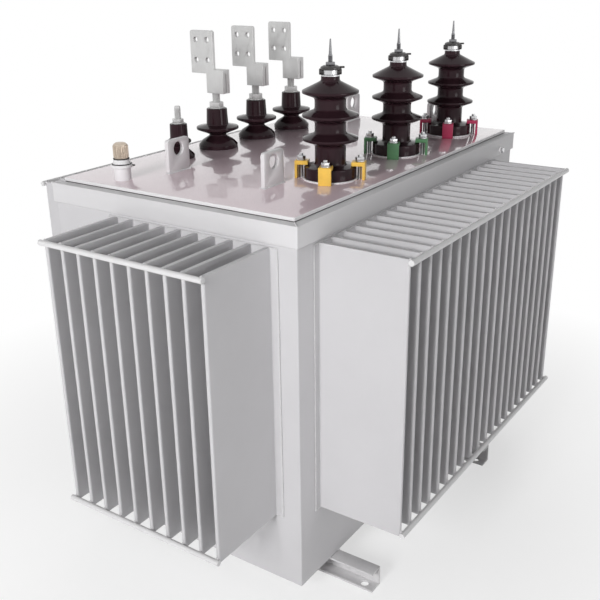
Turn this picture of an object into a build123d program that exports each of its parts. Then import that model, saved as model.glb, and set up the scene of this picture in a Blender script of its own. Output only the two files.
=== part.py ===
from build123d import *
import os

# Oil-filled distribution transformer with a finned tank, in millimetres.
# The origin is on the floor under the middle of the tank.
# X runs along the tank, +Y points to the low-voltage side, Z is up.

# Tank
tank_length = 1072
tank_width = 660
tank_height = 828
wall = 6
floor_plate = 8

# Rim and lid
rim_height = 44
rim_wall = 5
rim_ledge = 45
rim_ledge_thickness = 6
lid_thickness = 10
lid_setback = 20

# Skid channels under the tank
skid_height = 50
skid_flange = 38
skid_web = 5
skid_reach = 110
left_skid_from_end = 138
right_skid_from_end = 304
anchor_hole = 18
anchor_from_tip = 28

# Corrugated panels with hollow cooling fins
fin_pitch = 45
fin_thickness = 9
fin_sheet = 1.5
fin_nose_chamfer = 2.5
fin_depth = 198
fin_bottom_above_tank_floor = 168
fin_top_below_rim = 8
fin_panel_margin = 18
long_side_first_fin = 79
long_side_end_room = 130
short_side_first_fin = 67
short_side_end_room = 180

# Rods welded along the noses of the fins
rod_diameter = 12
rod_inset = 5
rod_overhang = 4
seat_gap = 0.2

# High-voltage bushings
hv_row_from_front = 127
hv_row_from_left = 319
hv_row_from_right = 145
hv_foot_radius = 58
hv_foot_height = 28
hv_foot_slope = 4
hv_core_radius = 34
hv_shed_radius = 61
hv_shed_count = 3
hv_first_shed = 88
hv_shed_spacing = 50
hv_shed_slope = 12
hv_shed_undercut = 12
hv_neck_radius = 20
hv_neck_above_shed = 32
hv_cap_barrel_radius = 17
hv_cap_barrel_height = 13
hv_cap_head_radius = 21
hv_cap_head_height = 9
hv_stud_radius = 5
hv_stud_height = 22
hv_spike_radius = 3.5
hv_spike_tip_radius = 1.2
hv_spike_height = 32
hv_clamp_count = 4
hv_clamp_angle = 23
hv_clamp_width = 28
hv_clamp_reach = 20
hv_clamp_bite = 10
hv_clamp_leg = 6
hv_clamp_toe = 9

# Low-voltage bushings
lv_row_from_back = 100
lv_middle_x = 92
lv_spacing = 167
lv_foot_radius = 50
lv_foot_height = 10
lv_waist_radius = 23
lv_waist_level = 32
lv_shed_radius = 54
lv_shed_level = 50
lv_cap_radius = 28
lv_cap_level = 58
lv_porcelain_height = 100
lv_stud_radius = 10
lv_nut_radius = 18
lv_nut_height = 16
lv_stud_height = 38

# Flag terminals: a split clamp on the stud, and a palm that stands off to the back
flag_clamp_width = 28
flag_clamp_height = 58
flag_clamp_front = 35
flag_clamp_back = 18
flag_slit = 3
flag_stud_gap = 8
flag_ledge = 10
flag_palm_thickness = 10
flag_palm_height = 94
flag_palm_front = 6
flag_palm_back = 65
flag_palm_corner = 6
flag_hole = 13
flag_hole_spacing_y = 36
flag_hole_spacing_z = 49

# Neutral bushing
neutral_spacing = 149
neutral_foot_radius = 36
neutral_foot_height = 8
neutral_waist_radius = 16
neutral_waist_level = 28
neutral_shed_radius = 29
neutral_shed_level = 40
neutral_cap_radius = 22
neutral_cap_level = 50
neutral_porcelain_height = 83
neutral_stud_radius = 8
neutral_nut_radius = 14
neutral_nut_height = 12
neutral_stud_height = 42

# Oil filler
filler_from_left = 70
filler_from_back = 145
filler_pipe_radius = 18
filler_pipe_height = 30
filler_collar_radius = 24
filler_collar_height = 18
filler_cap_radius = 17
filler_cap_height = 34

# Lifting lugs
left_lug_from_end = 197
right_lug_from_end = 96
lug_behind_hv_row = 69
lug_width = 72
lug_thickness = 10
lug_height = 76
lug_hole = 32
lug_hole_level = 53
lug_corner = 8

# Levels and places worked out from the sizes above
tank_floor_z = skid_height
wall_bottom_z = tank_floor_z + floor_plate
rim_top_z = tank_floor_z + tank_height
rim_bottom_z = rim_top_z - rim_height
wall_top_z = rim_top_z - rim_ledge_thickness
lid_top_z = rim_top_z + lid_thickness
half_length = tank_length / 2
half_width = tank_width / 2
hv_row_y = hv_row_from_front - half_width
hv_middle_x = (hv_row_from_left - hv_row_from_right) / 2
hv_spacing = (tank_length - hv_row_from_left - hv_row_from_right) / 2
lv_row_y = half_width - lv_row_from_back

# The back and the right sides are the front and the left turned half round
half_turns = (Plane.XY, Plane.XY.rotated((0, 0, 180)))

parts = {}


def keep(builder, label):
    """Label a finished sub-part and list it for writing."""
    builder.part.label = label
    parts[label] = builder.part


# Places of the fins, and the oil pocket inside each of them
fin_bottom_z = tank_floor_z + fin_bottom_above_tank_floor
fin_top_z = rim_bottom_z - fin_top_below_rim
fin_height = fin_top_z - fin_bottom_z
long_side_fins = 1 + int((tank_length - long_side_first_fin - long_side_end_room) / fin_pitch)
short_side_fins = 1 + int((tank_width - short_side_first_fin - short_side_end_room) / fin_pitch)
long_fin_x = [long_side_first_fin - half_length + i * fin_pitch for i in range(long_side_fins)]
short_fin_y = [short_side_first_fin - half_width + i * fin_pitch for i in range(short_side_fins)]
long_fin_middle = (long_fin_x[0] + long_fin_x[-1]) / 2
short_fin_middle = (short_fin_y[0] + short_fin_y[-1]) / 2
long_fin_span = long_fin_x[-1] - long_fin_x[0] + fin_thickness
short_fin_span = short_fin_y[-1] - short_fin_y[0] + fin_thickness
pocket_width = fin_thickness - 2 * fin_sheet
pocket_depth = fin_depth - fin_sheet
pocket_bottom_z = fin_bottom_z + fin_sheet
pocket_height = fin_height - 2 * fin_sheet

# Tank floor and walls; a slot through the wall feeds oil to each fin
with BuildPart() as tank_floor:
    with BuildSketch(Plane.XY.offset(tank_floor_z)):
        Rectangle(tank_length, tank_width)
    extrude(amount=floor_plate)
keep(tank_floor, "tank_floor")

for label, turned in zip(("front_wall", "back_wall"), half_turns):
    with BuildPart() as long_wall:
        with BuildSketch(turned.offset(wall_bottom_z)):
            with Locations((0, wall / 2 - half_width)):
                Rectangle(tank_length, wall)
        extrude(amount=wall_top_z - wall_bottom_z)
        with BuildSketch(turned.offset(pocket_bottom_z)):
            with Locations(*[(x, wall / 2 - half_width) for x in long_fin_x]):
                Rectangle(pocket_width, wall)
        extrude(amount=pocket_height, mode=Mode.SUBTRACT)
    keep(long_wall, label)

for label, turned in zip(("left_wall", "right_wall"), half_turns):
    with BuildPart() as short_wall:
        with BuildSketch(turned.offset(wall_bottom_z)):
            with Locations((wall / 2 - half_length, 0)):
                Rectangle(wall, tank_width - 2 * wall)
        extrude(amount=wall_top_z - wall_bottom_z)
        with BuildSketch(turned.offset(pocket_bottom_z)):
            with Locations(*[(wall / 2 - half_length, y) for y in short_fin_y]):
                Rectangle(wall, pocket_width)
        extrude(amount=pocket_height, mode=Mode.SUBTRACT)
    keep(short_wall, label)

# The closed tank is solid inside: one plain block for the core, the windings and the oil round them
with BuildPart() as tank_filling:
    with BuildSketch(Plane.XY.offset(wall_bottom_z)):
        Rectangle(tank_length - 2 * wall, tank_width - 2 * wall)
    extrude(amount=wall_top_z - wall_bottom_z)
keep(tank_filling, "tank_filling")

# Rim angles: a skirt outside the wall and a ledge that carries the lid
with BuildPart() as long_rims:
    with BuildSketch(Plane.YZ):
        with BuildLine():
            Polyline(
                (half_width + rim_wall, rim_top_z),
                (half_width + rim_wall, rim_bottom_z),
                (half_width, rim_bottom_z),
                (half_width, wall_top_z),
                (half_width + rim_wall - rim_ledge, wall_top_z),
                (half_width + rim_wall - rim_ledge, rim_top_z),
                close=True,
            )
        make_face()
        mirror(about=Plane.YZ)
    extrude(amount=half_length + rim_wall, both=True)
keep(long_rims, "long_rims")

with BuildPart() as short_rims:
    with BuildSketch(Plane.XY.offset(wall_top_z)):
        with Locations((half_length + rim_wall - rim_ledge / 2, 0)):
            Rectangle(rim_ledge, tank_width + 2 * rim_wall - 2 * rim_ledge)
    extrude(amount=rim_ledge_thickness)
    with BuildSketch(Plane.XY.offset(rim_bottom_z)):
        with Locations((half_length + rim_wall / 2, 0)):
            Rectangle(rim_wall, tank_width)
    extrude(amount=rim_height - rim_ledge_thickness)
    mirror(about=Plane.YZ)
keep(short_rims, "short_rims")

with BuildPart() as lid:
    with BuildSketch(Plane.XY.offset(rim_top_z)):
        Rectangle(
            tank_length + 2 * rim_wall - 2 * lid_setback,
            tank_width + 2 * rim_wall - 2 * lid_setback,
        )
    extrude(amount=lid_thickness)
keep(lid, "lid")

# Skid channels with their flanges pointing left, each with an anchor hole at both tips
skid_half_length = half_width + skid_reach
skid_hole_y = skid_half_length - anchor_from_tip
skid_places = {
    "left_skid": left_skid_from_end - half_length,
    "right_skid": half_length - right_skid_from_end,
}
for label, skid_x in skid_places.items():
    web_x = skid_x + skid_flange / 2
    tip_x = skid_x - skid_flange / 2
    hole_x = (tip_x + web_x - skid_web) / 2
    with BuildPart() as skid:
        with BuildSketch(Plane.XZ):
            with BuildLine():
                Polyline(
                    (web_x, 0),
                    (tip_x, 0),
                    (tip_x, skid_web),
                    (web_x - skid_web, skid_web),
                    (web_x - skid_web, skid_height - skid_web),
                    (tip_x, skid_height - skid_web),
                    (tip_x, skid_height),
                    (web_x, skid_height),
                    close=True,
                )
            make_face()
        extrude(amount=skid_half_length, both=True)
        with BuildSketch(Plane.XY):
            with Locations((hole_x, skid_hole_y), (hole_x, -skid_hole_y)):
                Circle(anchor_hole / 2)
        extrude(amount=skid_web, mode=Mode.SUBTRACT)
    keep(skid, label)

# Corrugated panels: one folded sheet a side, with a hollow fin at every fold
for label, turned in zip(("front_fins", "back_fins"), half_turns):
    with BuildPart() as long_fins:
        with BuildSketch(turned.offset(fin_bottom_z)) as folds:
            with Locations(*[(x, -half_width - fin_depth / 2) for x in long_fin_x]):
                Rectangle(fin_thickness, fin_depth)
            chamfer(folds.vertices().group_by(Axis.Y)[0], fin_nose_chamfer)
            with Locations((long_fin_middle, -half_width - fin_sheet / 2)):
                Rectangle(long_fin_span + 2 * fin_panel_margin, fin_sheet)
        extrude(amount=fin_height)
        with BuildSketch(turned.offset(pocket_bottom_z)):
            with Locations(*[(x, -half_width - pocket_depth / 2) for x in long_fin_x]):
                Rectangle(pocket_width, pocket_depth)
        extrude(amount=pocket_height, mode=Mode.SUBTRACT)
    keep(long_fins, label)

for label, turned in zip(("left_fins", "right_fins"), half_turns):
    with BuildPart() as short_fins:
        with BuildSketch(turned.offset(fin_bottom_z)) as folds:
            with Locations(*[(-half_length - fin_depth / 2, y) for y in short_fin_y]):
                Rectangle(fin_depth, fin_thickness)
            chamfer(folds.vertices().group_by(Axis.X)[0], fin_nose_chamfer)
            with Locations((-half_length - fin_sheet / 2, short_fin_middle)):
                Rectangle(fin_sheet, short_fin_span + 2 * fin_panel_margin)
        extrude(amount=fin_height)
        with BuildSketch(turned.offset(pocket_bottom_z)):
            with Locations(*[(-half_length - pocket_depth / 2, y) for y in short_fin_y]):
                Rectangle(pocket_depth, pocket_width)
        extrude(amount=pocket_height, mode=Mode.SUBTRACT)
    keep(short_fins, label)

# Rods across the noses, one near the foot and one near the top of each panel
rod_radius = rod_diameter / 2
rod_levels = (fin_bottom_z + rod_inset, fin_top_z - rod_inset)
rod_stand_off = fin_depth + seat_gap + rod_radius

for label, turned in zip(("front_rods", "back_rods"), half_turns):
    rod_end = turned.from_local_coords(
        (long_fin_middle - long_fin_span / 2 - rod_overhang, -half_width - rod_stand_off, 0)
    )
    with BuildPart() as long_rods:
        with BuildSketch(Plane(origin=rod_end, x_dir=turned.y_dir, z_dir=turned.x_dir)):
            with Locations(*[(0, z) for z in rod_levels]):
                Circle(rod_radius)
        extrude(amount=long_fin_span + 2 * rod_overhang)
    keep(long_rods, label)

for label, turned in zip(("left_rods", "right_rods"), half_turns):
    rod_end = turned.from_local_coords(
        (-half_length - rod_stand_off, short_fin_middle - short_fin_span / 2 - rod_overhang, 0)
    )
    with BuildPart() as short_rods:
        with BuildSketch(Plane(origin=rod_end, x_dir=-turned.x_dir, z_dir=turned.y_dir)):
            with Locations(*[(0, z) for z in rod_levels]):
                Circle(rod_radius)
        extrude(amount=short_fin_span + 2 * rod_overhang)
    keep(short_rods, label)

# High-voltage bushings: porcelain with sheds, bent claws round the foot, cap and stud
phases = ("a", "b", "c")
hv_x_places = (hv_middle_x - hv_spacing, hv_middle_x, hv_middle_x + hv_spacing)
hv_outline = [
    (0, 0),
    (hv_foot_radius, 0),
    (hv_foot_radius, hv_foot_height),
    (hv_core_radius, hv_foot_height + hv_foot_slope),
]
for i in range(hv_shed_count):
    shed_level = hv_first_shed + i * hv_shed_spacing
    hv_outline += [
        (hv_core_radius, shed_level - hv_shed_undercut),
        (hv_shed_radius, shed_level),
        (hv_core_radius, shed_level + hv_shed_slope),
    ]
hv_porcelain_height = shed_level + hv_neck_above_shed
hv_outline[-1] = (hv_neck_radius, hv_porcelain_height)
hv_outline += [(0, hv_porcelain_height)]

hv_stud_bottom = hv_porcelain_height + hv_cap_barrel_height + hv_cap_head_height

clamp_turn = 360 / hv_clamp_count
clamp_outer = hv_foot_radius + hv_clamp_reach
leg_inner = clamp_outer - hv_clamp_leg
toe_inner = hv_foot_radius - hv_clamp_bite
toe_rise = hv_clamp_bite * hv_foot_slope / (hv_foot_radius - hv_core_radius)
toe_bottom = hv_foot_height + toe_rise + 2 * seat_gap
toe_top = toe_bottom + hv_clamp_toe

for phase, hv_x in zip(phases, hv_x_places):
    foot = Plane(origin=(hv_x, hv_row_y, lid_top_z))
    with BuildPart() as hv_bushing:
        with BuildSketch(Plane(origin=foot.origin, x_dir=(1, 0, 0), z_dir=(0, -1, 0))):
            with BuildLine():
                Polyline(*hv_outline, close=True)
            make_face()
        revolve(axis=Axis(foot.origin, (0, 0, 1)))
    keep(hv_bushing, f"hv_bushing_{phase}")

    with BuildPart() as hv_clamps:
        for i in range(hv_clamp_count):
            spoke = foot.rotated((0, 0, hv_clamp_angle + i * clamp_turn))
            with BuildSketch(Plane(origin=foot.origin, x_dir=spoke.x_dir, z_dir=-spoke.y_dir)):
                with BuildLine():
                    Polyline(
                        (leg_inner, 0),
                        (clamp_outer, 0),
                        (clamp_outer, toe_top),
                        (toe_inner, toe_top),
                        (toe_inner, toe_bottom),
                        (leg_inner, toe_bottom),
                        close=True,
                    )
                make_face()
            extrude(amount=hv_clamp_width / 2, both=True)
    keep(hv_clamps, f"hv_clamps_{phase}")

    with BuildPart() as hv_cap:
        with BuildSketch(foot.offset(hv_porcelain_height)):
            Circle(hv_cap_barrel_radius)
        extrude(amount=hv_cap_barrel_height)
        with BuildSketch(foot.offset(hv_porcelain_height + hv_cap_barrel_height)):
            Circle(hv_cap_head_radius)
        extrude(amount=hv_cap_head_height)
    keep(hv_cap, f"hv_cap_{phase}")

    with BuildPart() as hv_terminal:
        with BuildSketch(foot.offset(hv_stud_bottom)):
            Circle(hv_stud_radius)
        extrude(amount=hv_stud_height)
        with BuildSketch(foot.offset(hv_stud_bottom + hv_stud_height)):
            Circle(hv_spike_radius)
        with BuildSketch(foot.offset(hv_stud_bottom + hv_stud_height + hv_spike_height)):
            Circle(hv_spike_tip_radius)
        loft()
    keep(hv_terminal, f"hv_terminal_{phase}")

# Low-voltage bushings: a flared foot, a waist, one shed, a round cap, stud and flag terminal
lv_x_places = (lv_middle_x - lv_spacing, lv_middle_x, lv_middle_x + lv_spacing)
flag_z = lid_top_z + lv_porcelain_height + lv_stud_height
flag_top_z = flag_z + flag_clamp_height
flag_grip = flag_clamp_height - flag_ledge - flag_stud_gap
palm_middle_y = lv_row_y + (flag_palm_back - flag_palm_front) / 2
palm_middle_z = flag_top_z + flag_palm_height / 2

for phase, lv_x in zip(phases, lv_x_places):
    foot = Plane(origin=(lv_x, lv_row_y, lid_top_z))
    with BuildPart() as lv_bushing:
        with BuildSketch(Plane(origin=foot.origin, x_dir=(1, 0, 0), z_dir=(0, -1, 0))):
            with BuildLine():
                Polyline(
                    (0, 0),
                    (lv_foot_radius, 0),
                    (lv_foot_radius, lv_foot_height),
                    (lv_waist_radius, lv_waist_level),
                    (lv_shed_radius, lv_shed_level),
                    (lv_cap_radius, lv_cap_level),
                    (lv_cap_radius, lv_porcelain_height),
                    (0, lv_porcelain_height),
                    close=True,
                )
            make_face()
        revolve(axis=Axis(foot.origin, (0, 0, 1)))
    keep(lv_bushing, f"lv_bushing_{phase}")

    with BuildPart() as lv_stud:
        with BuildSketch(foot.offset(lv_porcelain_height)):
            RegularPolygon(lv_nut_radius, 6)
        extrude(amount=lv_nut_height)
        with BuildSketch(foot.offset(lv_porcelain_height + lv_nut_height)):
            Circle(lv_stud_radius)
        extrude(amount=lv_stud_height - lv_nut_height + flag_grip)
    keep(lv_stud, f"lv_stud_{phase}")

    palm_face_x = lv_x - flag_clamp_width / 2
    with BuildPart() as lv_flag:
        with BuildSketch(Plane(origin=(lv_x, lv_row_y, flag_z), x_dir=(0, 1, 0), z_dir=(1, 0, 0))):
            with BuildLine():
                Polyline(
                    (-flag_clamp_front, 0),
                    (flag_clamp_back, 0),
                    (flag_clamp_back, flag_clamp_height - flag_ledge),
                    (flag_palm_back, flag_clamp_height - flag_ledge),
                    (flag_palm_back, flag_clamp_height),
                    (-flag_clamp_front, flag_clamp_height),
                    close=True,
                )
            make_face()
        extrude(amount=flag_clamp_width / 2, both=True)
        with BuildSketch(
            Plane(origin=(palm_face_x, palm_middle_y, palm_middle_z), x_dir=(0, 1, 0), z_dir=(1, 0, 0))
        ) as palm:
            Rectangle(flag_palm_front + flag_palm_back, flag_palm_height)
            fillet(palm.vertices().group_by(Axis.Y)[-1], flag_palm_corner)
            with GridLocations(flag_hole_spacing_y, flag_hole_spacing_z, 2, 2):
                Circle(flag_hole / 2, mode=Mode.SUBTRACT)
        extrude(amount=flag_palm_thickness)
        with BuildSketch(Plane(origin=(lv_x, lv_row_y, flag_z))):
            Circle(lv_stud_radius + seat_gap)
            with Locations((0, -flag_clamp_front / 2)):
                Rectangle(flag_slit, flag_clamp_front)
        extrude(amount=flag_clamp_height - flag_ledge, mode=Mode.SUBTRACT)
    keep(lv_flag, f"lv_flag_{phase}")

# Neutral bushing, a smaller one at the left end of the low-voltage row
neutral_foot = Plane(origin=(lv_x_places[0] - neutral_spacing, lv_row_y, lid_top_z))
with BuildPart() as neutral_bushing:
    with BuildSketch(Plane(origin=neutral_foot.origin, x_dir=(1, 0, 0), z_dir=(0, -1, 0))):
        with BuildLine():
            Polyline(
                (0, 0),
                (neutral_foot_radius, 0),
                (neutral_foot_radius, neutral_foot_height),
                (neutral_waist_radius, neutral_waist_level),
                (neutral_shed_radius, neutral_shed_level),
                (neutral_cap_radius, neutral_cap_level),
                (neutral_cap_radius, neutral_porcelain_height),
                (0, neutral_porcelain_height),
                close=True,
            )
        make_face()
    revolve(axis=Axis(neutral_foot.origin, (0, 0, 1)))
keep(neutral_bushing, "neutral_bushing")

with BuildPart() as neutral_stud:
    with BuildSketch(neutral_foot.offset(neutral_porcelain_height)):
        RegularPolygon(neutral_nut_radius, 6)
    extrude(amount=neutral_nut_height)
    with BuildSketch(neutral_foot.offset(neutral_porcelain_height + neutral_nut_height)):
        Circle(neutral_stud_radius)
    extrude(amount=neutral_stud_height - neutral_nut_height)
keep(neutral_stud, "neutral_stud")

# Oil filler: a short pipe with a collar, closed by a screw cap
filler_foot = Plane(origin=(filler_from_left - half_length, half_width - filler_from_back, lid_top_z))
with BuildPart() as filler_neck:
    with BuildSketch(filler_foot):
        Circle(filler_pipe_radius)
    extrude(amount=filler_pipe_height)
    with BuildSketch(filler_foot.offset(filler_pipe_height)):
        Circle(filler_collar_radius)
    extrude(amount=filler_collar_height)
keep(filler_neck, "filler_neck")

with BuildPart() as filler_cap:
    with BuildSketch(filler_foot.offset(filler_pipe_height + filler_collar_height)):
        Circle(filler_cap_radius)
    extrude(amount=filler_cap_height)
keep(filler_cap, "filler_cap")

# Lifting lugs, a pair of plates near each end of the lid, clear of the high-voltage row
lug_span = -2 * (hv_row_y + lug_behind_hv_row)
lug_places = {
    "left_lugs": left_lug_from_end - half_length,
    "right_lugs": half_length - right_lug_from_end,
}
for label, lug_x in lug_places.items():
    with BuildPart() as lugs:
        for lug_y in (-lug_span / 2, lug_span / 2):
            lug_face = Plane(
                origin=(lug_x, lug_y - lug_thickness / 2, lid_top_z), x_dir=(1, 0, 0), z_dir=(0, -1, 0)
            )
            with BuildSketch(lug_face) as lug_outline:
                with Locations((0, lug_height / 2)):
                    Rectangle(lug_width, lug_height)
                fillet(lug_outline.vertices().group_by(Axis.Y)[-1], lug_corner)
                with Locations((0, lug_hole_level)):
                    Circle(lug_hole / 2, mode=Mode.SUBTRACT)
            extrude(amount=-lug_thickness)
    keep(lugs, label)

os.makedirs("parts", exist_ok=True)
for label, solid in parts.items():
    export_step(solid, f"parts/{label}.step")
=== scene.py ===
"""Oil-filled distribution transformer, dressed in paint, porcelain and metal."""

import logging
import math
from collections.abc import Sequence
from dataclasses import dataclass
from enum import Enum
from functools import lru_cache
from itertools import pairwise, product
from typing import Any, Self

import bmesh
import bpy
from mathutils import Matrix, Vector


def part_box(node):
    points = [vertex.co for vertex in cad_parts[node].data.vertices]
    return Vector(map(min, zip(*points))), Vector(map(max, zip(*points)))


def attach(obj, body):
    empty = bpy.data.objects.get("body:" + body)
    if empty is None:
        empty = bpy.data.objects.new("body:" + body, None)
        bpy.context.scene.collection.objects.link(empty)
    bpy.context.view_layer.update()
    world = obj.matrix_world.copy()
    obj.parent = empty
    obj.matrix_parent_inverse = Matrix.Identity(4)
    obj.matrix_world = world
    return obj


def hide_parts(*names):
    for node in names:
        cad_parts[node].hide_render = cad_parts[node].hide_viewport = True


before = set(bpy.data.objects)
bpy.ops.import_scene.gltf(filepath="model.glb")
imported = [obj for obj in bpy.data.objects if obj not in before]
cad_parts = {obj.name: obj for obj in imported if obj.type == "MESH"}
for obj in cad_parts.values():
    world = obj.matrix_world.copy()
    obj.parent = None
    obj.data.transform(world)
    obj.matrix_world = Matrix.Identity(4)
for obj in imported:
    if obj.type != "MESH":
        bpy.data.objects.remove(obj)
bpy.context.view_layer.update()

Pair = tuple[int, int]
Point = tuple[float, float]
Colour = tuple[float, float, float]
Mesh = bpy.types.Mesh
Piece = bpy.types.Object
Socket = bpy.types.NodeSocket

LOG = logging.getLogger("transformer")
BODY = "root"
MM = 0.001
SHARP_ANGLE = math.radians(35)
BEVEL_ANGLE = math.radians(30)
FLAT_ANGLE = math.radians(1)
WELD_DISTANCE = 1e-5
ROUNDING_STEPS = 5
ROUNDING_REACH = 0.48
PORCELAIN_SEGMENTS = 96
STUD_SEGMENTS = 40
NOISE_MIDDLE = {"From Min": 0.3, "From Max": 0.7}
WHITE = (1.0, 1.0, 1.0, 1.0)
ORIGIN = Vector((0, 0, 0))
RECTANGLE_WAYS = ((-1, -1), (1, -1), (1, 1), (-1, 1))


class Slot(Enum):
    """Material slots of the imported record."""

    TANK = "tank_paint"
    PORCELAIN = "porcelain"
    YELLOW = "phase_a_paint"
    GREEN = "phase_b_paint"
    RED = "phase_c_paint"
    ENAMEL = "cap_enamel"
    STEEL = "terminal_steel"
    TIN = "tinned_copper"
    BRASS = "valve_brass"


class Graph:
    """A node tree in the making."""

    def __init__(self, tree: bpy.types.NodeTree) -> None:
        """Keep the tree that the nodes go into."""
        self.tree = tree

    def feed(self, node: bpy.types.Node, inputs: dict[Any, Any]) -> None:
        """Link or set inputs of a node.

        Args:
            node: the node.
            inputs: for each socket name or number, a socket to link or a value to set.
        """
        for key, value in inputs.items():
            if isinstance(value, Socket):
                self.tree.links.new(value, node.inputs[key])
            else:
                node.inputs[key].default_value = value

    def node(self, kind: str, inputs: dict[Any, Any] | None = None, **settings: Any) -> bpy.types.Node:
        """Add a node.

        Args:
            kind: the node's type name.
            inputs: what its inputs are fed.
            settings: the node's own properties.

        Returns:
            The new node.
        """
        node = self.tree.nodes.new(kind)
        for name, value in settings.items():
            setattr(node, name, value)
        self.feed(node, inputs or {})
        return node

    def out(
        self, kind: str, inputs: dict[Any, Any] | None = None, pick: int | str = 0, **settings: Any
    ) -> Socket:
        """Add a node in the same way, and return its output of that name or number."""
        return self.node(kind, inputs, **settings).outputs[pick]

    def combine(self, operation: str, *values: Any) -> Socket:
        """Return the result of a Math node on those values or sockets."""
        return self.out("ShaderNodeMath", dict(enumerate(values)), operation=operation)


@dataclass(frozen=True)
class Finish:
    """A surface finish, as one procedural material on object coordinates."""

    name: str
    slot: Slot
    colour: Colour
    roughness: float
    metallic: float = 0.0
    specular: float = 0.5
    coat: float = 0.0
    coat_roughness: float = 0.05
    coat_ior: float = 1.5
    mottle: float = 0.04
    cloud_scale: float = 5.0
    cloud_detail: float = 6.0
    cloud_breakup: float = 0.6
    grain_scale: float = 420.0
    grain_detail: float = 3.0
    relief: float = 0.06
    relief_depth: float = 0.4
    gloss_spread: float = 0.06
    least_roughness: float = 0.02
    stretch: tuple[float, float, float] = (1.0, 1.0, 1.0)

    def shade(self, share: float) -> tuple[float, float, float, float]:
        """Return the colour at that share of its brightness, with full alpha."""
        return (*(min(1.0, part * share) for part in self.colour), 1.0)


def blank_material(name: str) -> tuple[bpy.types.Material, Graph, bpy.types.Node]:
    """Start a material, and return it with its graph and its shader."""
    material = bpy.data.materials.new(name)
    material.use_nodes = True
    return material, Graph(material.node_tree), material.node_tree.nodes["Principled BSDF"]


@lru_cache(maxsize=None)
def material_of(finish: Finish) -> bpy.types.Material:
    """Make a finish's material once: clouded colour, uneven gloss and a fine relief.

    Args:
        finish: the finish to make.

    Returns:
        Its material.
    """
    material, graph, shader = blank_material(finish.name)
    place = graph.out("ShaderNodeTexCoord", pick="Object")
    drawn = graph.out("ShaderNodeMapping", {"Vector": place, "Scale": finish.stretch})
    clouds = graph.out("ShaderNodeTexNoise", {
        "Vector": place,
        "Scale": finish.cloud_scale,
        "Detail": finish.cloud_detail,
        "Roughness": finish.cloud_breakup,
    })
    grain_look = {"Scale": finish.grain_scale, "Detail": finish.grain_detail}
    grain = graph.out("ShaderNodeTexNoise", {"Vector": drawn, **grain_look})
    patch = graph.out("ShaderNodeMapRange", {"Value": clouds, **NOISE_MIDDLE})
    shades = {6: finish.shade(1 - finish.mottle), 7: finish.shade(1 + finish.mottle)}
    colour = graph.out("ShaderNodeMix", {0: patch, **shades}, pick=2, data_type="RGBA")
    glossiest = max(finish.least_roughness, finish.roughness - finish.gloss_spread)
    dullest = finish.roughness + finish.gloss_spread
    gloss = graph.out(
        "ShaderNodeMapRange", {"Value": grain, **NOISE_MIDDLE, "To Min": glossiest, "To Max": dullest}
    )
    depth = {"Strength": finish.relief, "Distance": finish.relief_depth * MM}
    graph.feed(shader, {
        "Base Color": colour,
        "Roughness": gloss,
        "Normal": graph.out("ShaderNodeBump", {"Height": grain, **depth}),
        "Metallic": finish.metallic,
        "Specular IOR Level": finish.specular,
        "Coat Weight": finish.coat,
        "Coat Roughness": finish.coat_roughness,
        "Coat IOR": finish.coat_ior,
    })
    return material


TANK_PAINT = Finish("tank_grey", Slot.TANK, (0.57, 0.562, 0.576), 0.42, specular=0.25, mottle=0.025)
# The tank paint made lighter on the rim: painted light, for the rim's brighter lit faces.
RIM_PAINTED_LIGHTER = Finish("rim_grey_painted_light", Slot.TANK, (0.66, 0.652, 0.664), 0.42, specular=0.25, mottle=0.025)
# A lighter copy of the tank paint. On the lid's sides it is painted light, standing for their lit faces. The
# rim's bosses, the lugs, the filler pipe and the high-voltage foot rings are given it too.
PALE_GREY_AND_PAINTED_LIGHT = Finish("pale_grey_and_painted_light", Slot.TANK, (0.74, 0.73, 0.74), 0.34, mottle=0.03, cloud_scale=12.0)
# The tank paint made lighter on the rods: painted light, for their rounded tops that catch the light.
ROD_PAINTED_LIGHT = Finish("rod_grey_painted_light", Slot.TANK, (0.68, 0.675, 0.68), 0.36, mottle=0.02, cloud_scale=20.0)
WELD_PAINT = Finish("weld_grey", Slot.TANK, (0.62, 0.612, 0.622), 0.34, mottle=0.05, cloud_scale=60.0)
# The lid's top: the tank paint tinted mauve and made lighter, as a painted reflection of brownish
# surroundings on the glossy top. The coat is its real gloss.
LID_PAINTED_REFLECTION = Finish(
    "lid_mauve_painted_reflection", Slot.TANK, (0.77, 0.62, 0.67), 0.3, coat=1.0, coat_ior=1.85, mottle=0.06, cloud_scale=4.0,
    relief=0.03,
)
SKID_PAINT = Finish("skid_grey", Slot.TANK, (0.58, 0.572, 0.58), 0.5, mottle=0.08, cloud_scale=25.0)
# Dark rubber for the filler's seals and screw; under the lid the same dark colour is a painted shadow line
# where the lid meets the rim's ledge.
DARK_SEAL_AND_SHADOW = Finish("dark_seal_and_painted_shadow", Slot.ENAMEL, (0.05, 0.046, 0.045), 0.75, mottle=0.2, cloud_scale=80.0)
GLAZE = Finish(
    "brown_glaze", Slot.PORCELAIN, (0.027, 0.0122, 0.016), 0.11, specular=0.14, mottle=0.25,
    cloud_scale=22.0, grain_scale=160.0, relief=0.03, gloss_spread=0.04,
)
YELLOW = Finish("claw_yellow", Slot.YELLOW, (0.80, 0.50, 0.09), 0.38, mottle=0.08, cloud_scale=40.0)
GREEN = Finish("claw_green", Slot.GREEN, (0.075, 0.19, 0.09), 0.38, mottle=0.12, cloud_scale=40.0)
RED = Finish("claw_red", Slot.RED, (0.38, 0.03, 0.085), 0.38, mottle=0.1, cloud_scale=40.0)
ENAMEL = Finish("dark_enamel", Slot.ENAMEL, (0.035, 0.032, 0.032), 0.3, mottle=0.15, cloud_scale=50.0)
ZINC = Finish(
    "zinc_plate", Slot.STEEL, (0.66, 0.66, 0.67), 0.34, metallic=1.0, mottle=0.08, cloud_scale=60.0,
    gloss_spread=0.1,
)
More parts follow.
